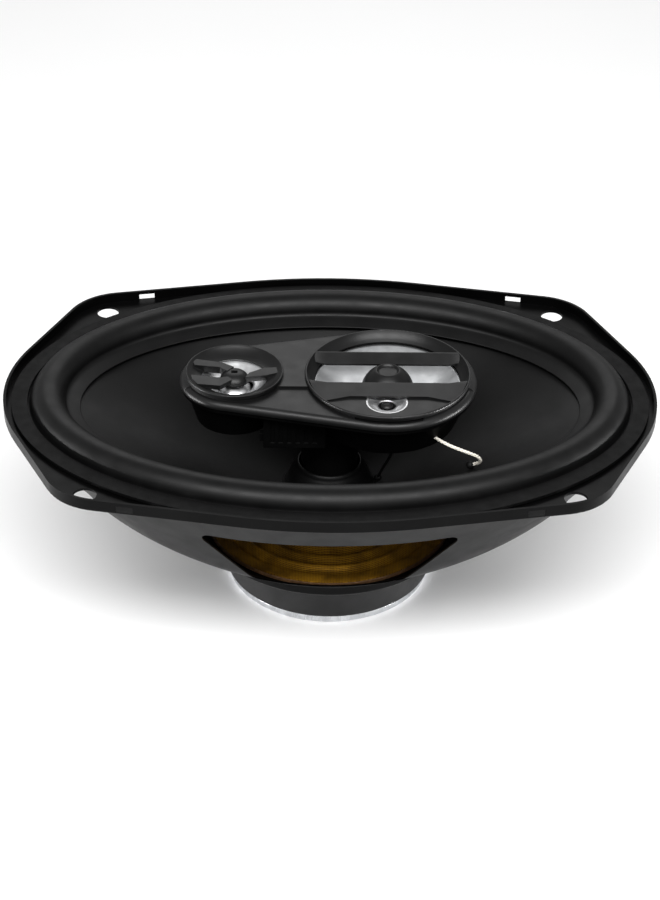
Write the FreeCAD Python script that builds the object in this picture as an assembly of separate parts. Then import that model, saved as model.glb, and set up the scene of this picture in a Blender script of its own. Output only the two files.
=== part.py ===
"""Four-way oval coaxial car loudspeaker, 6x9 inch size.

Frame: millimetres. The origin is the centre of the flange's rear face, which is the mounting
plane. +Z points at the listener, +X runs along the long axis and Y along the short axis.
The midrange stands at +X and the tweeter at -X, on a pod carried by the post through the cone.
"""
import FreeCAD
import Part
import math
import os

V = FreeCAD.Vector
Z_AXIS = V(0, 0, 1)

# ---------------------------------------------------------------- driving dimensions
# Flange: an octagon with bowed sides, pressed from sheet, with an upturned rim
SHEET = 1.0
FLANGE_LENGTH = 238.0
FLANGE_WIDTH = 165.0
EAR_X = 93.6
EAR_Y = 68.1
EAR_RADIUS = 22.0
SIDE_TANGENT_X = 16.5
END_TANGENT_Y = 14.9
RIM_TOP = 4.7
RIM_SLOT_X = 70.8
RIM_SLOT_WIDTH = 5.8
RIM_SLOT_TOP = 3.4
SCREW_SPACING_X = 170.4
SCREW_SPACING_Y = 123.0
SCREW_HOLE_R = 4.1
FLANGE_EDGE_R = 0.8
COLLAR_LAND = 2.0

# Basket bowl below the flange
COLLAR_A = 111.0
COLLAR_B = 74.5
COLLAR_BOTTOM = -3.0
BOWL_BOTTOM = -49.0
RING_R = 47.5
FLOOR_BOTTOM = -53.0
BOWL_POWER_X = 0.40
BOWL_POWER_Y = 1.10
BOWL_SECTIONS = 7
FLOOR_HOLE_R = 17.8
FOOT_RADIUS = 1.5
SIDE_WINDOW_TOP = -17.5
SIDE_WINDOW_BOTTOM = -48.0
SIDE_WINDOW_TOP_HALF = 47.8
SIDE_WINDOW_BOTTOM_HALF = 27.0
END_WINDOW_TOP = -14.0
END_WINDOW_BOTTOM = -44.0
END_WINDOW_TOP_HALF = 38.0
END_WINDOW_BOTTOM_HALF = 17.0
WINDOW_CORNER_R = 3.0
WINDOW_START = 35.0

# Surround: half roll of constant width along an ellipse, with a flat outer and a sloped inner lip
ROLL_A = 102.9
ROLL_B = 66.1
ROLL_R = 6.3
ROLL_BASE = 1.8
ROLL_THICKNESS = 0.6
OUTER_LIP = 9.2
INNER_LIP = 11.7
INNER_LIP_TOP = -0.5
LIP_THICKNESS = 0.5

# Gasket on the flange
GASKET_A = 116.3
GASKET_B = 80.4
GASKET_HOLE_A = 110.3
GASKET_HOLE_B = 73.5
GASKET_TOP = 2.7

# Cone: an ellipse at the edge, a circle at the neck
CONE_EDGE_A = 95.9
CONE_EDGE_B = 59.1
CONE_EDGE_Z = 0.5
CONE_NECK_R = 15.35
CONE_NECK_Z = -36.6
CONE_THICKNESS = 0.7
CONE_FLARE = 1.06
CONE_SECTIONS = 5
CAP_BASE_R = 16.3
CAP_BASE_Z = -35.7
CAP_TOP_R = 11.3
CAP_TOP_Z = -24.6
CAP_THICKNESS = 0.7

# Woofer motor
FORMER_R = 15.0
FORMER_WALL = 0.25
FORMER_BOTTOM = -61.5
COIL_TOP = -50.0
COIL_BOTTOM = -60.0
COIL_R = 15.9
POLE_R = 14.4
POLE_TOP = -52.6
GAP_R = 16.6
PLATE_R = 37.6
PLATE_TOP = FLOOR_BOTTOM
PLATE_BOTTOM = -57.0
MAGNET_R = 38.4
MAGNET_HOLE_R = 21.0
MAGNET_BOTTOM = -69.1
BACK_BOTTOM = -72.1
BACK_R = 37.6
STAKE_CIRCLE_R = 30.0
STAKE_ANGLES = (45, 135, 225, 315)
STAKE_R = 2.2
STAKE_DEPTH = 2.5
STAKE_HEAD_R = 3.6
STAKE_HEAD_RISE = 1.2
BACK_RECESS_R = 7.0
BACK_RECESS_DEPTH = 3.6

# Spider: corrugated cloth disc from the former to a spacer ring on the basket floor
SPIDER_Z = -48.0
SPIDER_R = 45.8
SPIDER_INNER_LIP = 18.2
SPIDER_OUTER_LIP = 41.4
SPIDER_WAVES = 4
SPIDER_WAVE_HEIGHT = 1.2
SPIDER_THICKNESS = 0.4
SPIDER_GAP = 0.15
SPACER_HOLE_R = 41.8

# Pod: teardrop hull of two circles on the post
MID_X = 20.8
TWEETER_X = -34.9
POD_MID_R = 32.5
POD_TWEETER_R = 19.9
POD_TOP = 12.5
POD_EDGE = 8.9
POD_FILLET = 3.2
POD_WALL = 1.8
POD_FLOOR = 7.3
POD_STEP_Y = -8.5
POD_STEP_DEPTH = 0.9
RING_UNDERCUT = 0.4
GROOVE_HALF = 12.2
CUP_BOTTOM = -5.0
MID_CUP_R = 25.3
MID_CUP_MOUTH_R = 30.4
TWEETER_CUP_R = 14.0
TWEETER_CUP_MOUTH_R = 17.8
CUP_WALL = 1.4
POST_R = 10.5
POST_BORE_R = 2.6
SPIGOT_R = 6.0
SPIGOT_TOP = -2.0
SOCKET_R = 7.6
SOCKET_TOP = -1.0
SCREW_R = 2.4
SCREW_HEAD_R = 4.4
SCREW_HEAD_HEIGHT = 3.2
POD_SCREWS = ((-14.0, 18.5), (-13.5, 0.0))
POD_SCREW_R = 1.3
POD_SCREW_HEAD_R = 2.6
POD_SCREW_HEAD_HEIGHT = 1.6
POD_BOSS_R = 2.8

# Midrange
MID_RING_R = 30.2
MID_RING_TOP = 13.5
MID_MOUTH_R = 26.4
MID_MOUTH_Z = 10.2
MID_SKIRT_R = 29.0
MID_SKIRT_LOW = 9.15
MID_SEAT_R = 29.2
MID_CONE_R = 26.8
MID_CONE_TOP = 9.0
MID_NECK_R = 9.8
MID_NECK_Z = 3.7
MID_DOME_R = 9.7
MID_DOME_CENTRE_Z = 5.7
MID_FRAME_R = 28.7
MID_FRAME_TOP = 8.8
BAR_HALF = 29.2
BAR_TWIST = 7.2

# Tweeter
TWEETER_RING_R = 17.8
TWEETER_RING_TOP = 13.9
TWEETER_MOUTH_R = 11.9
TWEETER_MOUTH_Z = 11.0
TWEETER_SEAT_R = 16.8
HUB_R = 5.15
HUB_TOP = 13.0
HUB_SHOULDER = 10.9
HUB_BOTTOM = 9.6

# Super tweeter
SUPER_X = 20.2
SUPER_Y = -17.7
SUPER_R = 7.5

# Leads
TINSEL_R = 0.65
BLACK_LEAD_R = 0.55
BRIGHT_ROUTE = [(33.0, -17.0, 0.8), (37.6, -20.6, -1.2), (42.2, -22.8, -2.8), (46.6, -23.8, -4.2),
                (50.4, -23.8, -5.8), (53.2, -23.0, -7.6), (54.6, -21.6, -10.2), (54.0, -19.8, -12.6),
                (52.2, -18.2, -14.2)]
BLACK_ROUTE = [(23.0, -15.5, -5.0), (23.0, -15.5, -10.0), (21.4, -11.0, -17.5), (19.2, -5.0, -26.0),
               (18.3, 1.8, -33.4)]
REAR_ROUTE = [(14.0, 45.1, -38.0), (14.0, 39.6, -38.0), (12.4, 34.0, -42.6), (9.8, 27.6, -41.2),
              (8.2, 23.0, -36.6), (7.4, 21.4, -32.9)]
GLUE_DOT_R = 1.5
GLUE_GAP = 0.4
LEAD_HOLE_R = 1.0

# Terminals in the rear window
TERMINAL_HALF = 20.0
TERMINAL_LOW = -47.0
TERMINAL_HIGH = -33.0
TERMINAL_RIVET_X = 5.0
TERMINAL_RIVET_Z = -37.0
TERMINAL_X = 14.0
BOARD_THICKNESS = 1.6
TERMINAL_RIVET_R = 1.5
TAB_MARGIN = 3.5
BLADE_Z = -43.0
BLADE_REACH = 12.0
BLADE_THICKNESS = 0.8
POSITIVE_WIDTH = 6.3
NEGATIVE_WIDTH = 4.8

PARTS = {}


# ---------------------------------------------------------------- helpers
def keep(name, shape):
    """Files a finished sub-part under its node name."""
    PARTS[name] = shape


def ring(outer_r, inner_r, low, high, x=0.0, y=0.0):
    """A plain ring, or a disc where inner_r is 0."""
    body = Part.makeCylinder(outer_r, high - low, V(x, y, low))
    if inner_r > 0:
        body = body.cut(Part.makeCylinder(inner_r, high - low, V(x, y, low)))
    return body


def box(x0, x1, y0, y1, z0, z1):
    """A box given by its two limits along each axis."""
    return Part.makeBox(x1 - x0, y1 - y0, z1 - z0, V(x0, y0, z0))


def revolve(outline, x=0.0, y=0.0):
    """A solid of revolution about a vertical axis at (x, y).

    outline is a list of (r, z) points. A step written as (r, z, "arc") is the middle
    point of an arc from the point before it to the point after it.
    """
    edges = []
    start = outline[0]
    middle = None
    for step in outline[1:] + [outline[0]]:
        if len(step) == 3:
            middle = step
            continue
        a = V(start[0], 0, start[1])
        b = V(step[0], 0, step[1])
        if middle:
            edges.append(Part.Arc(a, V(middle[0], 0, middle[1]), b).toShape())
        else:
            edges.append(Part.makeLine(a, b))
        start = step
        middle = None
    face = Part.Face(Part.Wire(edges))
    body = face.revolve(V(0, 0, 0), Z_AXIS, 360)
    body.translate(V(x, y, 0))
    return body


def ellipse_wire(a, b, z):
    """A closed ellipse at height z, or a circle where a equals b."""
    if abs(a - b) < 1e-6:
        return Part.Wire([Part.makeCircle(a, V(0, 0, z))])
    return Part.Wire([Part.Ellipse(V(0, 0, z), a, b).toShape()])


def ellipse_disc(a, b, low, high):
    """An elliptical plate."""
    return Part.Face(ellipse_wire(a, b, low)).extrude(V(0, 0, high - low))


def rounded_outline(corners, radii, z):
    """A closed wire through the corners, each rounded to its radius by a tangent arc."""
    count = len(corners)
    ends = []
    for i in range(count):
        here = V(corners[i][0], corners[i][1], z)
        before = V(corners[i - 1][0], corners[i - 1][1], z)
        after = V(corners[(i + 1) % count][0], corners[(i + 1) % count][1], z)
        to_before = (before - here).normalize()
        to_after = (after - here).normalize()
        half = to_before.getAngle(to_after) / 2
        reach = radii[i] / math.tan(half)
        bisector = (to_before + to_after).normalize()
        centre = here + bisector * (radii[i] / math.sin(half))
        middle = centre - bisector * radii[i]
        ends.append((here + to_before * reach, middle, here + to_after * reach))
    edges = []
    for i in range(count):
        start, middle, end = ends[i]
        following = ends[(i + 1) % count][0]
        edges.append(Part.Arc(start, middle, end).toShape())
        if (following - end).Length > 1e-3:
            edges.append(Part.makeLine(end, following))
    return Part.Wire(edges)


def hull_plate(grow, low, high):
    """The pod's teardrop outline, both circles grown by grow, as a plate."""
    big = POD_MID_R + grow
    small = POD_TWEETER_R + grow
    lean = math.asin((big - small) / (MID_X - TWEETER_X))
    s = math.sin(lean)
    c = math.cos(lean)
    big_top = V(MID_X - big * s, big * c, low)
    small_top = V(TWEETER_X - small * s, small * c, low)
    big_bottom = V(big_top.x, -big_top.y, low)
    small_bottom = V(small_top.x, -small_top.y, low)
    edges = [
        Part.Arc(big_top, V(MID_X + big, 0, low), big_bottom).toShape(),
        Part.makeLine(big_bottom, small_bottom),
        Part.Arc(small_bottom, V(TWEETER_X - small, 0, low), small_top).toShape(),
        Part.makeLine(small_top, big_top),
    ]
    return Part.Face(Part.Wire(edges)).extrude(V(0, 0, high - low))


def prism(points, low, high, x=0.0, y=0.0):
    """A vertical prism on a plan polygon whose points are given about (x, y)."""
    outline = [V(x + px, y + py, low) for px, py in points]
    return Part.Face(Part.makePolygon(outline + [outline[0]])).extrude(V(0, 0, high - low))


def louvre(points, half_length, x):
    """A bar along X whose section is a polygon of (y, z) points."""
    outline = [V(x - half_length, py, pz) for py, pz in points]
    face = Part.Face(Part.makePolygon(outline + [outline[0]]))
    return face.extrude(V(2 * half_length, 0, 0))


def tube_along(points, radius, fraction=0.45):
    """A round cord along straight runs joined by tangent arcs.

    Each arc is as large as its two runs allow.
    """
    points = [V(*p) for p in points]
    edges = []
    start = points[0]
    for i in range(1, len(points) - 1):
        back = points[i - 1] - points[i]
        ahead = points[i + 1] - points[i]
        run = fraction * min(back.Length, ahead.Length)
        back.normalize()
        ahead.normalize()
        half = back.getAngle(ahead) / 2
        arc_r = run * math.tan(half)
        bisector = (back + ahead).normalize()
        middle = points[i] + bisector * (arc_r / math.sin(half) - arc_r)
        first = points[i] + back * run
        last = points[i] + ahead * run
        edges.append(Part.makeLine(start, first))
        edges.append(Part.Arc(first, middle, last).toShape())
        start = last
        print("cord arc radius", round(arc_r, 2))
    edges.append(Part.makeLine(start, points[-1]))
    path = Part.Wire(edges)
    section = Part.Wire([Part.makeCircle(radius, points[0], points[1] - points[0])])
    body = path.makePipeShell([section], True, True)
    print("cord length", round(path.Length, 1), "volume ratio",
          round(body.Volume / (math.pi * radius ** 2 * path.Length), 3))
    return body


def each_side(make):
    """Four copies of a solid, one in each quadrant."""
    solids = []
    for sx in (-1, 1):
        for sy in (-1, 1):
            solids.append(make(sx, sy))
    return solids


def group(solids):
    """Separate solids that share one node."""
    return Part.makeCompound(solids)


def polar(radius, degrees, x=0.0, y=0.0):
    """A plan point on a circle about (x, y)."""
    angle = math.radians(degrees)
    return (x + radius * math.cos(angle), y + radius * math.sin(angle))


# ---------------------------------------------------------------- basket
def flange_face(z, inset=0.0):
    """The flange's outline as a face, moved inwards by inset."""
    half_l = FLANGE_LENGTH / 2
    half_w = FLANGE_WIDTH / 2
    side_turn = math.atan2(half_w - EAR_Y, EAR_X - SIDE_TANGENT_X)
    end_turn = math.atan2(half_l - EAR_X, EAR_Y - END_TANGENT_Y)
    side_r = SIDE_TANGENT_X / math.tan(side_turn / 2)
    end_r = END_TANGENT_Y / math.tan(end_turn / 2)
    quarter = [(SIDE_TANGENT_X, half_w), (EAR_X, EAR_Y), (half_l, END_TANGENT_Y)]
    quarter_r = [side_r, EAR_RADIUS, end_r]
    corners = []
    radii = []
    for sx, sy, flip in ((1, 1, 1), (1, -1, -1), (-1, -1, 1), (-1, 1, -1)):
        corners += [(sx * x, sy * y) for x, y in quarter[::flip]]
        radii += quarter_r[::flip]
    wire = rounded_outline(corners, radii, z)
    if inset > 0:
        wire = wire.makeOffset2D(-inset)
    return Part.Face(wire)


def bowl_axes(z, inset):
    """Half axes of the bowl's outer wall at height z, moved inwards by inset."""
    rise = (z - BOWL_BOTTOM) / (COLLAR_BOTTOM - BOWL_BOTTOM)
    a = RING_R + (COLLAR_A - RING_R) * rise ** BOWL_POWER_X
    b = RING_R + (COLLAR_B - RING_R) * rise ** BOWL_POWER_Y
    return a - inset, b - inset


def bowl_loft(inset, top, bottom):
    """The bowl as a closed loft of ellipses between two heights."""
    sections = []
    for i in range(BOWL_SECTIONS + 1):
        part_way = (i / BOWL_SECTIONS) ** 2
        z = bottom + (top - bottom) * part_way
        a, b = bowl_axes(min(max(z, BOWL_BOTTOM), COLLAR_BOTTOM), inset)
        sections.append(ellipse_wire(a, b, z))
    return Part.makeLoft(sections, True, False)


def window(top_half, bottom_half, top, bottom, along_x):
    """A rounded trapezoid prism, running outwards from the axis along -Y or along -X."""
    corners = [(top_half, top), (bottom_half, bottom), (-bottom_half, bottom), (-top_half, top)]
    wire = rounded_outline(corners, [WINDOW_CORNER_R] * 4, 0)
    face = Part.Face(wire)
    reach = FLANGE_LENGTH
    solid = face.extrude(V(0, 0, reach))
    solid.rotate(V(0, 0, 0), V(1, 0, 0), 90)
    solid.translate(V(0, -WINDOW_START, 0))
    if along_x:
        solid.rotate(V(0, 0, 0), Z_AXIS, -90)
    return solid


def make_basket():
    flange = flange_face(0).extrude(V(0, 0, RIM_TOP))
    edge = [e for e in flange.Edges if e.BoundBox.ZMax < 0.01]
    flange = flange.makeFillet(FLANGE_EDGE_R, edge)
    flange = flange.cut(flange_face(SHEET, SHEET).extrude(V(0, 0, RIM_TOP)))
    collar = ellipse_disc(COLLAR_A, COLLAR_B, COLLAR_BOTTOM, 0)
    bowl = bowl_loft(0, COLLAR_BOTTOM, BOWL_BOTTOM)
    cup = revolve([
        (0, BOWL_BOTTOM), (RING_R, BOWL_BOTTOM), (RING_R, FLOOR_BOTTOM + FOOT_RADIUS),
        (RING_R - 0.44, FLOOR_BOTTOM + 0.44, "arc"), (RING_R - FOOT_RADIUS, FLOOR_BOTTOM), (0, FLOOR_BOTTOM)])
    basket = flange.fuse([collar, bowl, cup])
    basket = basket.cut(ellipse_disc(COLLAR_A - COLLAR_LAND, COLLAR_B - COLLAR_LAND, COLLAR_BOTTOM, SHEET))
    basket = basket.cut(bowl_loft(SHEET, COLLAR_BOTTOM, BOWL_BOTTOM))
    inside = ring(RING_R - SHEET, 0, FLOOR_BOTTOM + SHEET, BOWL_BOTTOM)
    basket = basket.cut(inside)
    basket = basket.cut(ring(FLOOR_HOLE_R, 0, FLOOR_BOTTOM, BOWL_BOTTOM))
    windows = []
    for turn in (0, 180):
        side = window(SIDE_WINDOW_TOP_HALF, SIDE_WINDOW_BOTTOM_HALF,
                      SIDE_WINDOW_TOP, SIDE_WINDOW_BOTTOM, False)
        end = window(END_WINDOW_TOP_HALF, END_WINDOW_BOTTOM_HALF, END_WINDOW_TOP, END_WINDOW_BOTTOM, True)
        side.rotate(V(0, 0, 0), Z_AXIS, turn)
        end.rotate(V(0, 0, 0), Z_AXIS, turn)
        windows += [side, end]
    basket = basket.cut(windows)
    holes = each_side(lambda sx, sy: ring(
        SCREW_HOLE_R, 0, 0, SHEET, sx * SCREW_SPACING_X / 2, sy * SCREW_SPACING_Y / 2))
    slots = each_side(lambda sx, sy: box(
        sx * RIM_SLOT_X - RIM_SLOT_WIDTH / 2, sx * RIM_SLOT_X + RIM_SLOT_WIDTH / 2,
        min(sy * EAR_Y, sy * FLANGE_WIDTH / 2), max(sy * EAR_Y, sy * FLANGE_WIDTH / 2),
        SHEET, RIM_SLOT_TOP))
    for sx in (-1, 1):
        end_x = sx * FLANGE_LENGTH / 2
        slots.append(box(end_x - 3, end_x + 3, -RIM_SLOT_WIDTH / 2, RIM_SLOT_WIDTH / 2,
                         SHEET, RIM_SLOT_TOP))
    stakes = [ring(STAKE_R, 0, FLOOR_BOTTOM, BOWL_BOTTOM, *polar(STAKE_CIRCLE_R, a))
              for a in STAKE_ANGLES]
    keep("basket", basket.cut(holes + slots + stakes))
    rivets = []
    floor_top = FLOOR_BOTTOM + SHEET
    head_top = floor_top + STAKE_HEAD_RISE
    for a in STAKE_ANGLES:
        px, py = polar(STAKE_CIRCLE_R, a)
        shank = ring(STAKE_R, 0, PLATE_TOP - STAKE_DEPTH, floor_top, px, py)
        head = revolve([(0, floor_top), (STAKE_HEAD_R, floor_top),
                        (STAKE_HEAD_R - 1.0, head_top - 0.3, "arc"), (0.8, head_top), (0, head_top)], px, py)
        rivets.append(shank.fuse(head))
    keep("basket_rivets", group(rivets))


# ---------------------------------------------------------------- gasket, surround, cone
def make_gasket():
    plate = ellipse_disc(GASKET_A, GASKET_B, SHEET + LIP_THICKNESS, GASKET_TOP)
    hole = ellipse_disc(GASKET_HOLE_A, GASKET_HOLE_B, SHEET, GASKET_TOP)
    keep("gasket", plate.cut(hole))


def make_surround():
    """The section stands in the XZ plane at the end of the roll's ellipse."""
    inner_r = ROLL_R - ROLL_THICKNESS
    lip_z = SHEET + LIP_THICKNESS
    crest = ROLL_BASE + ROLL_R
    path = ellipse_wire(ROLL_A, ROLL_B, ROLL_BASE)

    def at(d, z):
        return V(ROLL_A + d, 0, z)

    edges = [
        Part.makeLine(at(OUTER_LIP, lip_z), at(ROLL_R, lip_z)),
        Part.makeLine(at(ROLL_R, lip_z), at(ROLL_R, ROLL_BASE)),
        Part.Arc(at(ROLL_R, ROLL_BASE), at(0, crest), at(-ROLL_R, ROLL_BASE)).toShape(),
        Part.makeLine(at(-ROLL_R, ROLL_BASE), at(-INNER_LIP, INNER_LIP_TOP)),
        Part.makeLine(at(-INNER_LIP, INNER_LIP_TOP), at(-INNER_LIP, INNER_LIP_TOP - LIP_THICKNESS)),
        Part.makeLine(at(-INNER_LIP, INNER_LIP_TOP - LIP_THICKNESS), at(-inner_r, ROLL_BASE - LIP_THICKNESS)),
        Part.Arc(at(-inner_r, ROLL_BASE - LIP_THICKNESS), at(0, crest - ROLL_THICKNESS),
                 at(inner_r, SHEET)).toShape(),
        Part.makeLine(at(inner_r, SHEET), at(OUTER_LIP, SHEET)),
        Part.makeLine(at(OUTER_LIP, SHEET), at(OUTER_LIP, lip_z)),
    ]
    keep("surround", path.makePipeShell([Part.Wire(edges)], True, True))


def cone_section(step, drop):
    """One ellipse of the cone, from the neck at step 0 to the edge at step 1."""
    a = CONE_NECK_R + (CONE_EDGE_A - CONE_NECK_R) * step
    b = CONE_NECK_R + (CONE_EDGE_B - CONE_NECK_R) * step
    z = CONE_NECK_Z + (CONE_EDGE_Z - CONE_NECK_Z) * (1 - (1 - step) ** CONE_FLARE)
    return ellipse_wire(a, b, z - drop)


def cone_loft(drop):
    """The space inside the cone's upper surface, or its lower surface when dropped."""
    steps = [i / CONE_SECTIONS for i in range(CONE_SECTIONS + 1)]
    return Part.makeLoft([cone_section(s, drop) for s in steps], True, False)


def make_cone():
    shell = cone_loft(CONE_THICKNESS).cut(cone_loft(0))
    shell = shell.cut(ring(CONE_NECK_R, 0, CONE_NECK_Z - 2, CONE_EDGE_Z))
    neck = ring(CONE_NECK_R + 0.7, FORMER_R + FORMER_WALL, CONE_NECK_Z - 3.0, CONE_NECK_Z)
    keep("cone", shell.fuse(neck))


def make_dust_cap():
    """A dome ring round the post, closing the gap between the cone's neck and the post."""
    rise = CAP_TOP_Z - CAP_BASE_Z
    run = CAP_BASE_R - CAP_TOP_R
    shoulder = math.sqrt(0.5)
    outer_mid = (CAP_TOP_R + run * shoulder, CAP_BASE_Z + rise * shoulder, "arc")
    inner_run = run - CAP_THICKNESS
    inner_mid = (CAP_TOP_R + inner_run * shoulder, CAP_BASE_Z + (rise - CAP_THICKNESS) * shoulder, "arc")
    dome = revolve([
        (CAP_BASE_R, CAP_BASE_Z), outer_mid, (CAP_TOP_R, CAP_TOP_Z),
        (CAP_TOP_R, CAP_TOP_Z - CAP_THICKNESS), inner_mid, (CAP_BASE_R - CAP_THICKNESS, CAP_BASE_Z)])
    keep("dust_cap", dome)


# ---------------------------------------------------------------- woofer motor
def make_motor():
    former_top = CONE_NECK_Z - 0.2
    keep("voice_coil_former", ring(FORMER_R + FORMER_WALL, FORMER_R, FORMER_BOTTOM, former_top))
    keep("voice_coil", ring(COIL_R, FORMER_R + FORMER_WALL, COIL_BOTTOM, COIL_TOP))
    plate = ring(PLATE_R, GAP_R, PLATE_BOTTOM, PLATE_TOP)
    sockets = [ring(STAKE_R, 0, PLATE_TOP - STAKE_DEPTH, PLATE_TOP, *polar(STAKE_CIRCLE_R, a))
               for a in STAKE_ANGLES]
    keep("top_plate", plate.cut(sockets))
    magnet = ring(MAGNET_R, MAGNET_HOLE_R, MAGNET_BOTTOM, PLATE_BOTTOM)
    edges = [e for e in magnet.Edges if e.Length > 2 * math.pi * (MAGNET_R - 1)]
    keep("magnet", magnet.makeFillet(0.6, edges))
    back = revolve([
        (POST_BORE_R, BACK_BOTTOM + BACK_RECESS_DEPTH), (BACK_RECESS_R, BACK_BOTTOM + BACK_RECESS_DEPTH),
        (BACK_RECESS_R, BACK_BOTTOM),
        (BACK_R - 0.6, BACK_BOTTOM), (BACK_R, BACK_BOTTOM + 0.6), (BACK_R, MAGNET_BOTTOM - 0.3),
        (BACK_R - 0.3, MAGNET_BOTTOM), (POLE_R + 1.5, MAGNET_BOTTOM),
        (POLE_R, MAGNET_BOTTOM + 1.5), (POLE_R, POLE_TOP - 0.5), (POLE_R - 0.5, POLE_TOP),
        (POST_BORE_R, POLE_TOP)])
    keep("back_plate", back)


def make_spider():
    """A lip, half waves alternately up and down, and a lip at the spacer ring."""
    start = FORMER_R + FORMER_WALL + SPIDER_GAP
    half_waves = 2 * SPIDER_WAVES
    pitch = (SPIDER_OUTER_LIP - SPIDER_INNER_LIP) / half_waves
    nodes = [SPIDER_INNER_LIP + i * pitch for i in range(half_waves + 1)]

    def side(z):
        edges = [Part.makeLine(V(start, 0, z), V(nodes[0], 0, z))]
        for i in range(half_waves):
            crest = z + SPIDER_WAVE_HEIGHT * (-1) ** i
            middle = V(nodes[i] + pitch / 2, 0, crest)
            edges.append(Part.Arc(V(nodes[i], 0, z), middle, V(nodes[i + 1], 0, z)).toShape())
        edges.append(Part.makeLine(V(nodes[-1], 0, z), V(SPIDER_R, 0, z)))
        return edges

    top = SPIDER_Z + SPIDER_THICKNESS
    ends = [Part.makeLine(V(r, 0, SPIDER_Z), V(r, 0, top)) for r in (start, SPIDER_R)]
    loop = Part.Wire(Part.sortEdges(side(SPIDER_Z) + side(top) + ends)[0])
    keep("spider", Part.Face(loop).revolve(V(0, 0, 0), Z_AXIS, 360))
    keep("spider_ring", ring(RING_R - SHEET - 0.4, SPACER_HOLE_R, FLOOR_BOTTOM + SHEET, SPIDER_Z))


# ---------------------------------------------------------------- post and pod
def make_post():
    """A tube from the motor's pole to the pod, and the screw that holds both to the back plate."""
    post = revolve([
        (POST_BORE_R, POLE_TOP), (POST_R, POLE_TOP), (POST_R, CUP_BOTTOM - 3.0),
        (POST_R + 2, CUP_BOTTOM - 1.0), (POST_R + 2, CUP_BOTTOM), (SPIGOT_R, CUP_BOTTOM),
        (SPIGOT_R, SPIGOT_TOP), (POST_BORE_R, SPIGOT_TOP)])
    keep("post", post)
    head_z = BACK_BOTTOM + BACK_RECESS_DEPTH - SCREW_HEAD_HEIGHT
    hexagon = Part.makePolygon([V(*polar(SCREW_HEAD_R, a), head_z) for a in range(0, 361, 60)])
    head = Part.Face(hexagon).extrude(V(0, 0, SCREW_HEAD_HEIGHT))
    shank = ring(SCREW_R, 0, head_z + SCREW_HEAD_HEIGHT, SPIGOT_TOP - 2.0)
    keep("post_screw", head.fuse(shank))


def cup(x, mouth_r, foot_r):
    """A tapered drum under the pod, closed at the foot: the outer solid and its hollow."""
    outer = Part.makeCone(foot_r, mouth_r, POD_FLOOR - CUP_BOTTOM, V(x, 0, CUP_BOTTOM))
    inner = Part.makeCone(foot_r - CUP_WALL, mouth_r - CUP_WALL, POD_FLOOR + 1.6 - CUP_BOTTOM - CUP_WALL,
                          V(x, 0, CUP_BOTTOM + CUP_WALL))
    return outer, inner


def make_pod_base():
    mid_outer, mid_inner = cup(MID_X, MID_CUP_MOUTH_R, MID_CUP_R)
    tweeter_outer, tweeter_inner = cup(TWEETER_X, TWEETER_CUP_MOUTH_R, TWEETER_CUP_R)
    plate = hull_plate(-0.6, POD_FLOOR, POD_EDGE)
    socket = ring(SOCKET_R, 0, CUP_BOTTOM, SOCKET_TOP)
    web = box(-SOCKET_R, 0, -1.0, 1.0, CUP_BOTTOM, POD_FLOOR)
    mid_hollow = mid_inner.cut(ring(SOCKET_R, 0, CUP_BOTTOM, SOCKET_TOP))
    base = plate.fuse([mid_outer, tweeter_outer, socket, web])
    base = base.cut([mid_hollow, tweeter_inner, ring(SPIGOT_R, 0, CUP_BOTTOM, SPIGOT_TOP)])
    base = base.cut(ring(SCREW_R, 0, SPIGOT_TOP, SOCKET_TOP))
    screws = []
    for px, py in POD_SCREWS:
        head = ring(POD_SCREW_HEAD_R, 0, POD_FLOOR - POD_SCREW_HEAD_HEIGHT, POD_FLOOR, px, py)
        shank = ring(POD_SCREW_R, 0, POD_FLOOR, POD_EDGE + 0.8, px, py)
        screws.append(head.fuse(shank))
    keep("pod_base", base.cut([ring(POD_SCREW_R, 0, POD_FLOOR, POD_EDGE, px, py) for px, py in POD_SCREWS]))
    keep("pod_screws", group(screws))


def cover_plate(top, fillet):
    """The cover's solid at one level, with a rounded rim."""
    plate = hull_plate(0, POD_EDGE, top)
    rim = [e for e in plate.Edges if e.BoundBox.ZMin > top - 0.01]
    return plate.makeFillet(fillet, rim)


def make_pod_cover():
    """The front strip is a step lower. The two rings stand on seats that keep the full height."""
    low_top = POD_TOP - POD_STEP_DEPTH
    front = box(TWEETER_X - POD_MID_R, MID_X + 2 * POD_MID_R, -2 * POD_MID_R, POD_STEP_Y, POD_EDGE, POD_TOP)
    cover = cover_plate(POD_TOP, POD_FILLET).cut(front)
    cover = cover.fuse(cover_plate(low_top, POD_FILLET - POD_STEP_DEPTH).common(front))
    cover = cover.fuse([ring(MID_RING_R - RING_UNDERCUT, 0, POD_EDGE, POD_TOP, MID_X),
                        ring(TWEETER_RING_R - RING_UNDERCUT, 0, POD_EDGE, POD_TOP, TWEETER_X)])
    hollow = hull_plate(-POD_WALL, POD_EDGE, low_top - POD_WALL)
    bosses = [ring(POD_BOSS_R, POD_SCREW_R, POD_EDGE, low_top - POD_WALL, px, py) for px, py in POD_SCREWS]
    cover = cover.cut(hollow).fuse(bosses)
    seats = [ring(MID_SEAT_R, 0, POD_EDGE, POD_TOP, MID_X),
             ring(TWEETER_SEAT_R, 0, POD_EDGE, POD_TOP, TWEETER_X)]
    groove = ring(MID_RING_R + 1.0, 0, low_top - 0.9, low_top, MID_X)
    in_front = box(MID_X - GROOVE_HALF, MID_X + GROOVE_HALF, -2 * POD_MID_R, 0, POD_EDGE, POD_TOP)
    groove = groove.common(in_front)
    keep("pod_cover", cover.cut(seats + [groove]))


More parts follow.
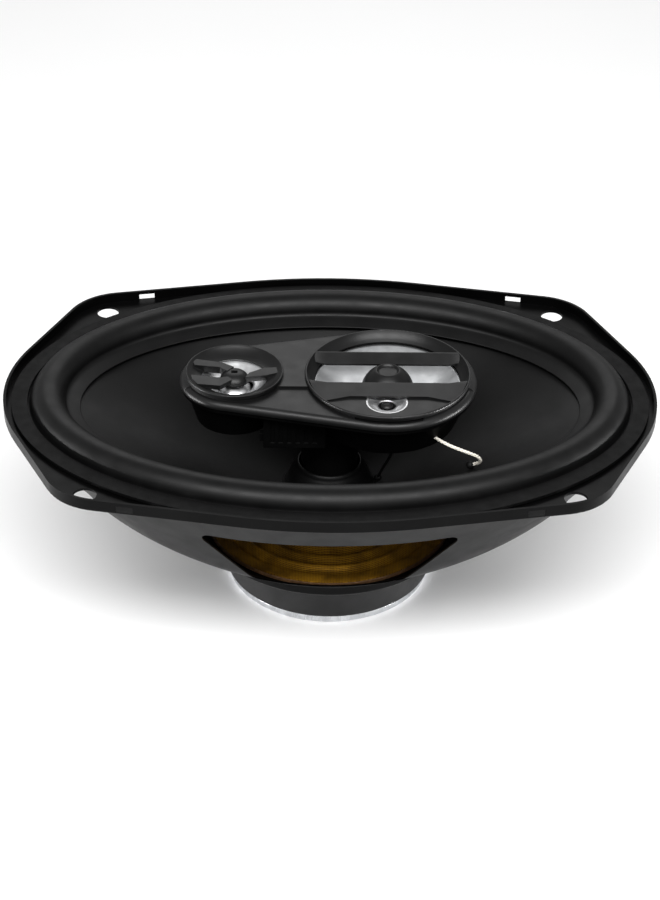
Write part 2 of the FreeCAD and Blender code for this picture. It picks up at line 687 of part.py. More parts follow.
def make_crossover():
    """A ribbed box hung under the pod in front of the post, with a board and two capacitors."""
    left = -24.0
    right = -1.8
    front = -20.5
    back = -13.5
    bottom = -6.2
    wall = 1.2
    gap = 0.3
    cups = [cup(MID_X, MID_CUP_MOUTH_R + gap, MID_CUP_R + gap)[0],
            cup(TWEETER_X, TWEETER_CUP_MOUTH_R + gap, TWEETER_CUP_R + gap)[0]]
    wide_cups = [cup(MID_X, MID_CUP_MOUTH_R + gap + wall, MID_CUP_R + gap + wall)[0],
                 cup(TWEETER_X, TWEETER_CUP_MOUTH_R + gap + wall, TWEETER_CUP_R + gap + wall)[0]]
    shell = box(left, right, front, back, bottom, POD_FLOOR).cut(cups)
    hollow = box(left + wall, right - wall, front + wall, back - wall, bottom + wall, POD_FLOOR)
    shell = shell.cut(hollow.cut(wide_cups))
    ribs = 6
    pitch = (right - left - 4) / ribs
    grooves = [box(left + 2.4 + i * pitch, left + 4.0 + i * pitch, front, front + 0.5, bottom + 2, 6)
               for i in range(ribs)]
    latch = box(left - 1.4, left, front + 1.0, front + 3.4, bottom + 2.2, bottom + 5.4)
    keep("crossover_box", shell.cut(grooves).fuse(latch))
    mid_y = (front + back) / 2
    keep("crossover_board", box(left + 1.6, -8.0, mid_y - 2.0, mid_y + 2.0, 3.4, 4.6))
    capacitors = []
    for x in (-22.2, -13.4):
        capacitors.append(Part.makeCylinder(2.1, 7.8, V(x, mid_y, -0.8), V(1, 0, 0)))
    keep("crossover_capacitors", group(capacitors))


# ---------------------------------------------------------------- midrange
def make_midrange():
    keep("midrange_grille", midrange_grille())
    top = MID_FRAME_TOP
    keep("midrange_frame", revolve([
        (MID_FRAME_R, top - 0.4), (MID_FRAME_R, top), (28.1, top), (28.1, 8.2), (27.0, 7.3), (13.6, 0.4),
        (12.4, 0.4), (12.4, -0.8), (14.4, -0.8), (27.6, 6.6), (28.1, 7.6), (28.4, top - 0.4)], MID_X))
    lip = MID_CONE_R - 0.3
    keep("midrange_surround", revolve([
        (MID_FRAME_R, top), (MID_FRAME_R, top + 0.3), (28.2, top + 0.3), (27.6, 9.55, "arc"), (27.0, 9.3),
        (lip, 9.3), (lip, 9.12), (27.0, 9.05), (27.6, 9.25, "arc"), (28.1, top)], MID_X))
    slope = (MID_CONE_TOP - MID_NECK_Z) / (MID_CONE_R - MID_NECK_R)
    bend_r = (MID_CONE_R + MID_NECK_R) / 2
    bend_z = (MID_CONE_TOP + MID_NECK_Z) / 2 - 0.35 * slope
    keep("midrange_cone", revolve([
        (MID_NECK_R, MID_NECK_Z), (bend_r, bend_z, "arc"), (MID_CONE_R, MID_CONE_TOP),
        (MID_CONE_R, MID_CONE_TOP - 0.35), (bend_r, bend_z - 0.4, "arc"), (MID_NECK_R, MID_NECK_Z - 0.4)],
        MID_X))
    keep("midrange_dust_cap", midrange_dome())
    keep("midrange_coil", ring(10.4, 9.8, -1.2, 1.6, MID_X).fuse(ring(9.8, 9.6, -1.2, MID_NECK_Z, MID_X)))
    keep("midrange_pole_plate", ring(9.2, 0, -0.6, 1.0, MID_X))
    keep("midrange_magnet", ring(8.8, 0, -2.3, -0.6, MID_X))
    keep("midrange_yoke", ring(12.4, 0, -3.6, 1.4, MID_X).cut(ring(10.8, 0, -2.3, 1.4, MID_X)))


def midrange_dome():
    """A thin dome with a dished crater in its top, and a foot that sits on the cone's neck."""
    wall = 0.5
    crater_r = 4.1
    crater_z = MID_DOME_CENTRE_Z + math.sqrt(MID_DOME_R ** 2 - crater_r ** 2)
    above = crater_z + 2
    floor = crater_z - 0.8
    inner_r = MID_DOME_R - wall
    dome = Part.makeSphere(MID_DOME_R, V(MID_X, 0, MID_DOME_CENTRE_Z))
    dome = dome.cut(Part.makeSphere(inner_r, V(MID_X, 0, MID_DOME_CENTRE_Z)))
    dome = dome.common(ring(MID_DOME_R, 0, MID_DOME_CENTRE_Z, above, MID_X))
    crater = revolve([(0, above), (crater_r, above), (crater_r, crater_z), (3.2, floor), (0, floor)], MID_X)
    dish_r = crater_r + 0.3
    dish = revolve([(0, floor), (3.4, floor), (dish_r, crater_z - 0.4), (dish_r, crater_z - 0.4 - wall),
                    (3.4, floor - wall), (0, floor - wall)], MID_X)
    foot_z = MID_NECK_Z + 0.2
    skirt = ring(MID_DOME_R, inner_r, foot_z, MID_DOME_CENTRE_Z, MID_X)
    foot = ring(MID_NECK_R + wall, inner_r, foot_z, foot_z + wall, MID_X)
    return dome.cut(crater).fuse([dish, skirt, foot])


def twisted_bar(section, end_section):
    """A bar along X that keeps one section between its two ends, where it runs into another."""
    straight = BAR_HALF - BAR_TWIST
    bar = louvre(section, straight, MID_X)
    for side in (-1, 1):
        wires = []
        for x, outline in ((side * straight, section), (side * BAR_HALF, end_section)):
            points = [V(MID_X + x, py, pz) for py, pz in outline]
            wires.append(Part.makePolygon(points + [points[0]]))
        bar = bar.fuse(Part.makeLoft(wires, True, True))
    return bar


def midrange_grille():
    """A funnel ring crossed by two slanted bars that twist at their ends, with a solid front segment."""
    skirt_inner = MID_SKIRT_R - 0.6
    funnel = revolve([
        (MID_RING_R, POD_TOP), (MID_RING_R, MID_RING_TOP - 0.5),
        (MID_RING_R - 0.2, MID_RING_TOP - 0.1, "arc"), (MID_RING_R - 0.7, MID_RING_TOP),
        (28.0, 11.55, "arc"), (MID_MOUTH_R, MID_MOUTH_Z),
        (MID_MOUTH_R + 0.4, MID_MOUTH_Z - 0.25), (skirt_inner, POD_TOP - 1.5),
        (skirt_inner, MID_SKIRT_LOW), (MID_SKIRT_R, MID_SKIRT_LOW), (MID_SKIRT_R, POD_TOP)],
        MID_X)
    inside = ring(MID_RING_R - 1.0, 0, POD_EDGE, MID_RING_TOP + 1, MID_X)
    upper = twisted_bar(
        [(13.4, 13.8), (12.9, 13.8), (8.7, 11.4), (8.7, 10.8), (9.4, 10.8), (13.4, 12.8)],
        [(13.4, 13.8), (12.9, 13.8), (10.6, 11.5), (10.6, 10.9), (11.3, 10.8), (13.4, 12.4)])
    lower = twisted_bar(
        [(-7.5, 13.8), (-8.1, 13.8), (-18.5, 12.6), (-18.5, 11.6), (-7.5, 12.5)],
        [(-5.9, 13.9), (-6.6, 13.9), (-18.5, 11.9), (-18.5, 11.3), (-5.9, 12.6)])
    plan = prism([(-30, -4.5), (-24, -3.0), (24, -3.0), (30, -4.5), (30, -16), (23.5, -18.2),
                  (14, -15.4), (-14, -15.4), (-23.5, -18.2), (-30, -16)], POD_EDGE, 16, MID_X)
    lower = lower.common(plan)
    segment = ring(MID_RING_R - 1.5, 0, 10.9, 12.1, MID_X)
    segment = segment.cut(box(MID_X - 40, MID_X + 40, -12.5, 40, POD_EDGE, 16))
    grille = funnel.fuse([upper.common(inside), lower.common(inside), segment])
    recess = ring(SUPER_R + 0.05, 0, POD_EDGE, 12.2, SUPER_X, SUPER_Y)
    return grille.cut(recess)


def make_super_tweeter():
    x = SUPER_X
    y = SUPER_Y
    bowl = revolve([
        (SUPER_R, 12.1), (SUPER_R - 0.6, 12.1), (5.4, 10.9, "arc"), (3.2, 10.4),
        (3.2, 10.0), (5.9, 10.5, "arc"), (SUPER_R, 11.4)], x, y)
    keep("super_tweeter_reflector", bowl)
    dome = revolve([
        (0, 11.5), (0.3, 11.5), (1.6, 11.1, "arc"), (2.2, 10.4), (2.2, 10.1), (1.4, 10.75, "arc"),
        (0.3, 11.1), (0, 11.1)], x, y)
    keep("super_tweeter_dome", dome)
    keep("super_tweeter_housing", ring(3.9, 2.6, 8.7, 9.9, x, y).fuse(ring(3.9, 0, 8.7, 9.4, x, y)))


# ---------------------------------------------------------------- tweeter
def tweeter_grille():
    """A funnel ring with a domed hub held by three blades."""
    funnel = revolve([
        (TWEETER_RING_R, POD_TOP), (TWEETER_RING_R, TWEETER_RING_TOP - 0.4),
        (TWEETER_RING_R - 0.1, TWEETER_RING_TOP - 0.1, "arc"), (TWEETER_RING_R - 0.5, TWEETER_RING_TOP),
        (14.6, 12.0, "arc"), (TWEETER_MOUTH_R, TWEETER_MOUTH_Z),
        (TWEETER_MOUTH_R + 0.3, TWEETER_MOUTH_Z - 0.5),
        (15.6, POD_TOP - 1.5), (15.6, POD_EDGE + 1.1), (TWEETER_SEAT_R - 0.2, POD_EDGE + 1.1),
        (TWEETER_SEAT_R - 0.2, POD_TOP)], TWEETER_X)
    inside = ring(TWEETER_SEAT_R - 0.3, 0, POD_EDGE, 16, TWEETER_X)
    hub = revolve([(0, HUB_TOP), (0.3, HUB_TOP), (3.9, HUB_TOP - 0.7, "arc"), (HUB_R, HUB_SHOULDER),
                   (HUB_R, HUB_BOTTOM), (0, HUB_BOTTOM)], TWEETER_X)
    blades = [
        ([(-15.9, 8.8), (-4.6, 6.3), (-0.3, 3.4), (-2.6, 0.6), (-5.4, 3.1), (-14.6, 4.4)], 10.4, 13.2),
        ([(-16.8, -1.1), (-5.7, -3.1), (-0.9, -2.0), (-0.9, -4.6), (-5.0, -8.6), (-13.2, -7.5)], 10.8, 12.6),
        ([(4.0, -2.6), (5.4, 0.4), (10.7, 3.8), (16.9, 4.4), (16.9, 1.1), (11.3, -1.4)], 10.4, 12.6),
    ]
    arms = [prism(points, low, high, TWEETER_X).common(inside) for points, low, high in blades]
    slot = box(TWEETER_X - 1.15, TWEETER_X + 1.15, -0.8, 0.9, HUB_TOP - 1.2, HUB_TOP + 1)
    return funnel.fuse([hub] + arms).cut(slot)


def make_tweeter():
    x = TWEETER_X
    keep("tweeter_grille", tweeter_grille())
    keep("tweeter_reflector", revolve([
        (TWEETER_SEAT_R - 1.4, 9.2), (TWEETER_SEAT_R - 1.4, 9.9), (12.6, 10.2), (9.4, 8.4, "arc"), (6.9, 7.6),
        (6.9, 6.9), (9.8, 7.6, "arc"), (12.8, 9.2)], x))
    keep("tweeter_dome", revolve([
        (0, 8.9), (0.4, 8.9), (3.8, 8.0, "arc"), (6.1, 6.3), (6.1, 6.0), (3.6, 7.6, "arc"), (0.4, 8.5),
        (0, 8.5)], x))
    keep("tweeter_coil", ring(6.1, 5.8, 2.2, 5.95, x).fuse(ring(6.5, 6.1, 2.2, 4.2, x)))
    keep("tweeter_pole_plate", ring(5.4, 0, 2.6, 4.0, x))
    keep("tweeter_magnet", ring(5.1, 0, -1.4, 2.6, x))
    keep("tweeter_yoke", ring(9.0, 0, -3.6, 4.0, x).cut(ring(6.9, 0, -1.4, 4.0, x)))


# ---------------------------------------------------------------- terminals and leads
def make_terminals():
    """A fibre board riveted to a tab of the basket in the rear window, with two blades."""
    tab_y = RING_R
    board_y = tab_y + BOARD_THICKNESS
    tip_y = tab_y + BLADE_REACH
    half = BLADE_THICKNESS / 2
    board = box(-TERMINAL_HALF, TERMINAL_HALF, tab_y, board_y, TERMINAL_LOW, TERMINAL_HIGH)
    rivets = []
    holes = []
    for x in (-TERMINAL_RIVET_X, TERMINAL_RIVET_X):
        hole = Part.makeCylinder(TERMINAL_RIVET_R, BOARD_THICKNESS + SHEET,
                                 V(x, tab_y - SHEET, TERMINAL_RIVET_Z), V(0, 1, 0))
        head = Part.makeCylinder(2.7, 0.8, V(x, board_y, TERMINAL_RIVET_Z), V(0, 1, 0))
        foot = Part.makeCylinder(2.4, 0.6, V(x, tab_y - SHEET - 0.6, TERMINAL_RIVET_Z), V(0, 1, 0))
        holes.append(hole)
        rivets.append(hole.fuse([head, foot]))
    blades = {}
    sides = (("terminal_positive", 1, POSITIVE_WIDTH), ("terminal_negative", -1, NEGATIVE_WIDTH))
    for name, side, width in sides:
        middle = side * TERMINAL_X
        x0 = middle - width / 2
        x1 = middle + width / 2
        foot = box(x0, x1, board_y, board_y + BLADE_THICKNESS, BLADE_Z - half, TERMINAL_HIGH - 2.0)
        blade = box(x0, x1, board_y, tip_y, BLADE_Z - half, BLADE_Z + half)
        tip = [e for e in blade.Edges if e.BoundBox.YMin > tip_y - 0.1 and e.BoundBox.ZLength > half]
        blade = blade.makeChamfer(1.2, tip)
        pin_z = REAR_ROUTE[0][2]
        pin = box(middle - 0.6, middle + 0.6, REAR_ROUTE[0][1], board_y, pin_z - 0.9, pin_z + 0.9)
        eye = Part.makeCylinder(0.7, 2.0, V(middle, tip_y - 3.0, BLADE_Z - 1))
        blades[name] = foot.fuse([blade, pin]).cut(eye)
    keep("terminal_board", board.cut(holes + list(blades.values())))
    keep("terminal_rivets", group(rivets))
    for name, blade in blades.items():
        keep(name, blade)
    tab = box(-TERMINAL_RIVET_X - TAB_MARGIN, TERMINAL_RIVET_X + TAB_MARGIN, tab_y - SHEET, tab_y,
              BOWL_BOTTOM - 2, TERMINAL_RIVET_Z + TAB_MARGIN)
    PARTS["basket"] = PARTS["basket"].fuse(tab).cut(holes)


def glue_dot(route):
    """A ball of glue just past the end of a lead, in line with its last run."""
    end = V(*route[-1])
    ahead = (end - V(*route[-2])).normalize()
    return Part.makeSphere(GLUE_DOT_R, end + ahead * (GLUE_DOT_R + GLUE_GAP))


def make_leads():
    """Leads that flex with the cone, and the glue dots where they enter it."""
    keep("tinsel_lead_positive", tube_along(REAR_ROUTE, TINSEL_R))
    mirrored = [(-x, y, z) for x, y, z in REAR_ROUTE]
    keep("tinsel_lead_negative", tube_along(mirrored, TINSEL_R))
    keep("pod_lead_bright", tube_along(BRIGHT_ROUTE, TINSEL_R))
    keep("pod_lead_black", tube_along(BLACK_ROUTE, BLACK_LEAD_R))
    exit_hole = tube_along(BRIGHT_ROUTE[:3], LEAD_HOLE_R)
    PARTS["pod_base"] = PARTS["pod_base"].cut(exit_hole)
    cavity = cone_loft(0)
    solid_below = cone_loft(CONE_THICKNESS)
    dots = [glue_dot(route).common(cavity) for route in (BRIGHT_ROUTE, BLACK_ROUTE)]
    dots += [glue_dot(route).cut(solid_below) for route in (REAR_ROUTE, mirrored)]
    keep("lead_eyelets", group(dots))


BUILDERS = [make_basket, make_gasket, make_surround, make_cone, make_dust_cap, make_motor, make_spider,
            make_post, make_pod_base, make_pod_cover, make_crossover, make_midrange, make_super_tweeter,
            make_tweeter, make_terminals, make_leads]

for build in BUILDERS:
    build()

os.makedirs("parts", exist_ok=True)
for name, shape in PARTS.items():
    shape.exportStep("parts/" + name + ".step")
    print(name, len(shape.Solids), shape.isValid(), round(shape.Volume, 1))
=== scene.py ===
"""Looks of the oval coaxial car speaker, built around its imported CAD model.

Sizes and outlines are in millimetres, in the frame of the CAD model, and become metres when a mesh
is made. The CAD model's soft and round pieces are made again here as finer meshes. Its other pieces
stay, and get rounded edges and materials.
"""
import bmesh
import bpy
import math
from mathutils import Matrix, Vector


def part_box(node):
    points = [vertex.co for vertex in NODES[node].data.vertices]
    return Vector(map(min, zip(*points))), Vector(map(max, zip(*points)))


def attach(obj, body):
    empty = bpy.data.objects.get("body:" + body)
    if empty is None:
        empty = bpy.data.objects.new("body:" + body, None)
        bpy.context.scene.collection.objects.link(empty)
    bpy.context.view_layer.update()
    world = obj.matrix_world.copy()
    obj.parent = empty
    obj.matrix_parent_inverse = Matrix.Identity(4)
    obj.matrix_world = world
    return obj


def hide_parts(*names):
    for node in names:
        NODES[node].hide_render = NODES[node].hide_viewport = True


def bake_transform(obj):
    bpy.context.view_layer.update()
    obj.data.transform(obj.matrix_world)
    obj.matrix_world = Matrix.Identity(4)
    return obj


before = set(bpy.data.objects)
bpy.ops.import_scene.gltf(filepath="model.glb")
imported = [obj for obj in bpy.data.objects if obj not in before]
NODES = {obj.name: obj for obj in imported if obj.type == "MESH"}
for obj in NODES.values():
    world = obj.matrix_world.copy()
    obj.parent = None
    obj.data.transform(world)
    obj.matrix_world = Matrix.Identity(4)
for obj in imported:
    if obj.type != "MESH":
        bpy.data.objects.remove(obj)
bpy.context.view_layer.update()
MM = 0.001


def limits(node):
    """Lowest and highest corner of a CAD node, in millimetres."""
    low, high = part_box(node)
    return low / MM, high / MM


def middle(node):
    """Middle of a CAD node, in millimetres."""
    low, high = limits(node)
    return [(a + b) / 2 for a, b in zip(low, high)]


# ---------------------------------------------------------------- sizes
# Points round a large ring and a small one.
TURNS = 256
SMALL_TURNS = 128

# Points this close become one, in metres: in a mesh made here, and in a CAD node.
SAME_POINT = 1e-7
WELD_GAP = 1e-6

# Edges sharper than this are rounded.
BEVEL_ANGLE = math.radians(28)

# How far large faces lead the shading, of 100.
NORMAL_WEIGHT = 90

# A corner is rounded over at most this share of each side, unless it is nearly straight or tiny.
CORNER_SHARE = 0.45
STRAIGHT_CORNER = math.radians(172)
LEAST_CORNER = 1e-4
CORNER_STEPS = 3

# The roll's middle line is an ellipse with half axes A and B. The lips are measured from that line.
SURROUND_HIGH = limits("surround")[1]
OUTER_LIP = 9.2
INNER_LIP = 11.7
ROLL_R = 6.3
ROLL_WALL = 0.6
ROLL_A = SURROUND_HIGH.x - OUTER_LIP
ROLL_B = SURROUND_HIGH.y - OUTER_LIP
ROLL_BASE = SURROUND_HIGH.z - ROLL_R

# The gasket is a little wider along Y than along X.
GASKET_LOW, GASKET_HIGH = limits("gasket")
GASKET_WIDTH_X = 6.0
GASKET_WIDTH_Y = 6.9

# The cone narrows from an ellipse at its edge to a circle at its neck. A flare of 1 is straight.
CONE_EDGE = limits("cone")[1]
CONE_NECK_R = 15.35
CONE_NECK_Z = -36.6
CONE_NECK_DROP = 3.0
CONE_FLARE = 1.06
CONE_WALL = 0.7

# The spider's waves lie between its inner and outer lips, and the gap parts it from the former.
SPIDER_Z = -48.0
SPIDER_R = limits("spider")[1].x
SPIDER_WAVES = 4
SPIDER_WAVE_HEIGHT = 1.2
SPIDER_WALL = 0.4
SPIDER_IN = 18.2
SPIDER_OUT = 41.4
SPIDER_GAP = 0.15

MAGNET_HOLE_R = 21.0

MID_X = middle("midrange_cone")[0]
TWEETER_X = middle("tweeter_dome")[0]
SUPER_X, SUPER_Y = middle("super_tweeter_dome")[:2]

# Each lead's control points, from the chassis to the cone, and its length and radius.
BRIGHT_ROUTE = [(33.0, -17.0, 0.8), (37.6, -20.6, -1.2), (42.2, -22.8, -2.8), (46.6, -23.8, -4.2),
                (50.4, -23.8, -5.8), (53.2, -23.0, -7.6), (54.6, -21.6, -10.2), (54.0, -19.8, -12.6),
                (52.2, -18.2, -14.2)]
BLACK_ROUTE = [(23.0, -15.5, -5.0), (23.0, -15.5, -10.0), (21.4, -11.0, -17.5), (19.2, -5.0, -26.0),
               (18.3, 1.8, -33.4)]
REAR_ROUTE = [(14.0, 45.1, -38.0), (14.0, 39.6, -38.0), (12.4, 34.0, -42.6), (9.8, 27.6, -41.2),
              (8.2, 23.0, -36.6), (7.4, 21.4, -32.9)]
BRAID_R = 0.65
SLEEVE_R = 0.55

# The camera's angles are in radians.
CAMERA_PLACE = (-7.03, -837.80, 540.16)
CAMERA_PITCH = 0.58990
CAMERA_YAW = 0.0085688
CAMERA_ROLL = 0.0127972
CAMERA_LENS = 109.04
CAMERA_SENSOR = 36.0

# Each light's name, its place, aim, width and height in metres, its watts, and its spread in degrees.
OPEN_SPREAD = 180.0
LIGHTS = [
    ("light_key", (0.0, -0.62, 0.92), (0, 0, 0), 1.3, 0.40, 17.0, OPEN_SPREAD),
    ("light_front", (0.0, -1.3, 0.85), (0, 0, 0), 2.0, 0.4, 2.5, OPEN_SPREAD),
    ("light_top", (0.0, 0.95, 0.85), (0, 0, 0), 1.0, 0.4, 2.2, OPEN_SPREAD),
    ("light_back", (0.0, 1.5, 0.75), (0, 0, 0.05), 1.3, 0.45, 1.5, OPEN_SPREAD),
    ("light_side", (-0.95, -0.12, -0.03), (0, 0, -0.03), 0.6, 0.07, 2.6, 60.0),
    ("light_side", (0.95, -0.12, -0.03), (0, 0, -0.03), 0.6, 0.07, 2.6, 60.0),
]
WORLD_STRENGTH = 0.36
FLOOR_GAP = 0.1
FLOOR_Z = limits("back_plate")[0].z - FLOOR_GAP
FLOOR_HALF = 3000


# ---------------------------------------------------------------- camera, floor and light
def make_camera():
    """The camera, turned by its yaw and pitch, then by its roll."""
    data = bpy.data.cameras.new("camera")
    data.lens = CAMERA_LENS
    data.sensor_width = CAMERA_SENSOR
    data.clip_start = 0.01
    camera = bpy.data.objects.new("camera", data)
    ahead = Vector((math.sin(CAMERA_YAW) * math.cos(CAMERA_PITCH),
                    math.cos(CAMERA_YAW) * math.cos(CAMERA_PITCH), -math.sin(CAMERA_PITCH)))
    level = Vector((math.cos(CAMERA_YAW), -math.sin(CAMERA_YAW), 0.0))
    above = level.cross(ahead)
    right = level * math.cos(CAMERA_ROLL) + above * math.sin(CAMERA_ROLL)
    up = above * math.cos(CAMERA_ROLL) - level * math.sin(CAMERA_ROLL)
    turn = Matrix((right, up, -ahead)).transposed()
    camera.matrix_world = Matrix.Translation(Vector(CAMERA_PLACE) * MM) @ turn.to_4x4()
    bpy.context.scene.collection.objects.link(camera)
    bpy.context.scene.camera = camera


def softbox(name, place, aim, width, height, watts, spread):
    """A rectangular area light at place, turned towards aim."""
    data = bpy.data.lights.new(name, "AREA")
    data.shape = "RECTANGLE"
    data.size = width
    data.size_y = height
    data.energy = watts
    data.spread = math.radians(spread)
    lamp = bpy.data.objects.new(name, data)
    lamp.location = place
    lamp.rotation_euler = (Vector(aim) - Vector(place)).to_track_quat("-Z", "Y").to_euler()
    bpy.context.scene.collection.objects.link(lamp)


def make_studio():
    """Soft lights, a white sky and a pale floor just under the back plate."""
    for light in LIGHTS:
        softbox(*light)
    world = bpy.data.worlds.new("studio")
    world.use_nodes = True
    background = world.node_tree.nodes["Background"]
    background.inputs["Color"].default_value = (1.0, 1.0, 1.0, 1.0)
    background.inputs["Strength"].default_value = WORLD_STRENGTH
    bpy.context.scene.world = world
    bpy.context.scene.view_settings.view_transform = "Standard"

    corners = [(x * FLOOR_HALF, y * FLOOR_HALF, FLOOR_Z) for x, y in ((-1, -1), (1, -1), (1, 1), (-1, 1))]
    build("floor", corners, [(0, 1, 2, 3)], MATERIALS["floor"])


# ---------------------------------------------------------------- materials
# Most of a noise lies between these values.
NOISE_LOW = 0.3
NOISE_HIGH = 0.7
LEAST_ROUGH = 0.02


class Paint:
    """A material's node tree, with short names for the nodes that the patterns below need."""

    def __init__(self, name, rough, metallic=0.0, specular=0.5):
        self.name = name
        self.material = bpy.data.materials.new(name)
        self.material.use_nodes = True
        self.tree = self.material.node_tree
        self.shader = self.tree.nodes["Principled BSDF"]
        self.shader.inputs["Roughness"].default_value = rough
        self.shader.inputs["Metallic"].default_value = metallic
        self.shader.inputs["Specular IOR Level"].default_value = specular
        self.rough = rough
        self.place = self.node("ShaderNodeTexCoord").outputs["Object"]

    def node(self, kind, **settings):
        """A new node in the tree, with its settings."""
        made = self.tree.nodes.new(kind)
        for key, value in settings.items():
            setattr(made, key, value)
        return made

    def link(self, source, target):
        self.tree.links.new(source, target)

    def noise(self, size, detail, stretch=(1, 1, 1)):
        """Noise from 0 to 1 whose grains are about size millimetres, times stretch along each axis."""
        place = self.node("ShaderNodeMapping")
        place.inputs["Scale"].default_value = [1 / (size * MM * s) for s in stretch]
        texture = self.node("ShaderNodeTexNoise")
        texture.inputs["Scale"].default_value = 1.0
        texture.inputs["Detail"].default_value = detail
        self.link(self.place, place.inputs["Vector"])
        self.link(place.outputs["Vector"], texture.inputs["Vector"])
        return texture.outputs["Fac"]

    def bands(self, pitch, axis, kind="BANDS", centre=(0, 0)):
        """Even waves of that pitch in millimetres: along an axis, or as rings about centre."""
        place = self.node("ShaderNodeMapping")
        place.inputs["Location"].default_value = (-centre[0] * MM, -centre[1] * MM, 0)
        wave = self.node("ShaderNodeTexWave", wave_type=kind)
        if kind == "BANDS":
            wave.bands_direction = axis
        else:
            wave.rings_direction = axis
        wave.inputs["Scale"].default_value = math.pi / (10 * pitch * MM)
        self.link(self.place, place.inputs["Vector"])
        self.link(place.outputs["Vector"], wave.inputs["Vector"])
        return wave.outputs["Fac"]

    def math(self, operation, first, second):
        """The operation on two values, each a number or another node's output."""
        made = self.node("ShaderNodeMath", operation=operation)
        for i, value in enumerate((first, second)):
            if isinstance(value, (int, float)):
                made.inputs[i].default_value = value
            else:
                self.link(value, made.inputs[i])
        return made.outputs["Value"]

    def colour(self, factor, dark, light, low=0.35, high=0.65):
        """The base colour runs from dark to light as factor runs from low to high."""
        ramp = self.node("ShaderNodeValToRGB")
        ramp.color_ramp.elements[0].position = low
        ramp.color_ramp.elements[0].color = (*dark, 1)
        ramp.color_ramp.elements[1].position = high
        ramp.color_ramp.elements[1].color = (*light, 1)
        self.link(factor, ramp.inputs["Fac"])
        self.link(ramp.outputs["Color"], self.shader.inputs["Base Color"])

    def gloss(self, factor, spread):
        """Roughness varies by spread each way round its middle value."""
        span = self.node("ShaderNodeMapRange")
        span.inputs["From Min"].default_value = NOISE_LOW
        span.inputs["From Max"].default_value = NOISE_HIGH
        span.inputs["To Min"].default_value = max(self.rough - spread, LEAST_ROUGH)
        span.inputs["To Max"].default_value = self.rough + spread
        self.link(factor, span.inputs["Value"])
        self.link(span.outputs["Result"], self.shader.inputs["Roughness"])

    def relief(self, factor, depth):
        """Bumps of that depth in millimetres."""
        bump = self.node("ShaderNodeBump")
        bump.inputs["Strength"].default_value = 1.0
        bump.inputs["Distance"].default_value = depth * MM
        self.link(factor, bump.inputs["Height"])
        self.link(bump.outputs["Normal"], self.shader.inputs["Normal"])


def grey(value):
    return (value, value, value * 1.02)


def grained(name, dark, light, rough, grain, depth, spread, patch, **settings):
    """A moulded, painted or pressed surface: broad patches of tone over a fine grain."""
    paint = Paint(name, rough, **settings)
    paint.colour(paint.noise(patch, 4.0), dark, light)
    paint.gloss(paint.noise(patch * 0.4, 3.0), spread)
    paint.relief(paint.noise(grain, 2.0), depth)
    return paint


def ringed(name, dark, light, rough, pitch, depth, centre, **settings):
    """A turned or spun surface with fine rings about a vertical axis."""
    paint = Paint(name, rough, **settings)
    paint.colour(paint.noise(6.0, 3.0), dark, light)
    paint.gloss(paint.noise(2.5, 3.0), 0.05)
    paint.relief(paint.bands(pitch, "Z", "RINGS", centre), depth)
    return paint


def woven(name, dark, light, rough, pitch, depth, **settings):
    """A square plain weave."""
    paint = Paint(name, rough, **settings)
    weft = paint.bands(pitch, "X")
    warp = paint.bands(pitch, "Y")
    threads = paint.math("MAXIMUM", weft, warp)
    tone = paint.math("MULTIPLY", threads, paint.noise(9.0, 4.0))
    paint.colour(tone, dark, light, 0.2, 0.6)
    paint.gloss(paint.noise(4.0, 3.0), 0.08)
    paint.relief(threads, depth)
    return paint


def scratched(name, dark, light, rough, **settings):
    """Plated or rolled metal with faint drawn lines and cloudy gloss."""
    paint = Paint(name, rough, **settings)
    lines = paint.noise(0.35, 2.0, (1, 14, 14))
    paint.colour(paint.noise(5.0, 4.0), dark, light)
    half_lines = paint.math("MULTIPLY", lines, 0.5)
    half_clouds = paint.math("MULTIPLY", paint.noise(7.0, 3.0), 0.5)
    paint.gloss(paint.math("ADD", half_lines, half_clouds), 0.1)
    paint.relief(lines, 0.01)
    return paint


def wound(name, dark, light, rough, pitch, depth, **settings):
    """Enamelled wire wound in turns that lie on each other along the axis."""
    paint = Paint(name, rough, **settings)
    turns = paint.bands(pitch, "Z")
    paint.colour(turns, dark, light, 0.1, 0.7)
    paint.gloss(paint.noise(2.0, 2.0), 0.05)
    paint.relief(turns, depth)
    return paint


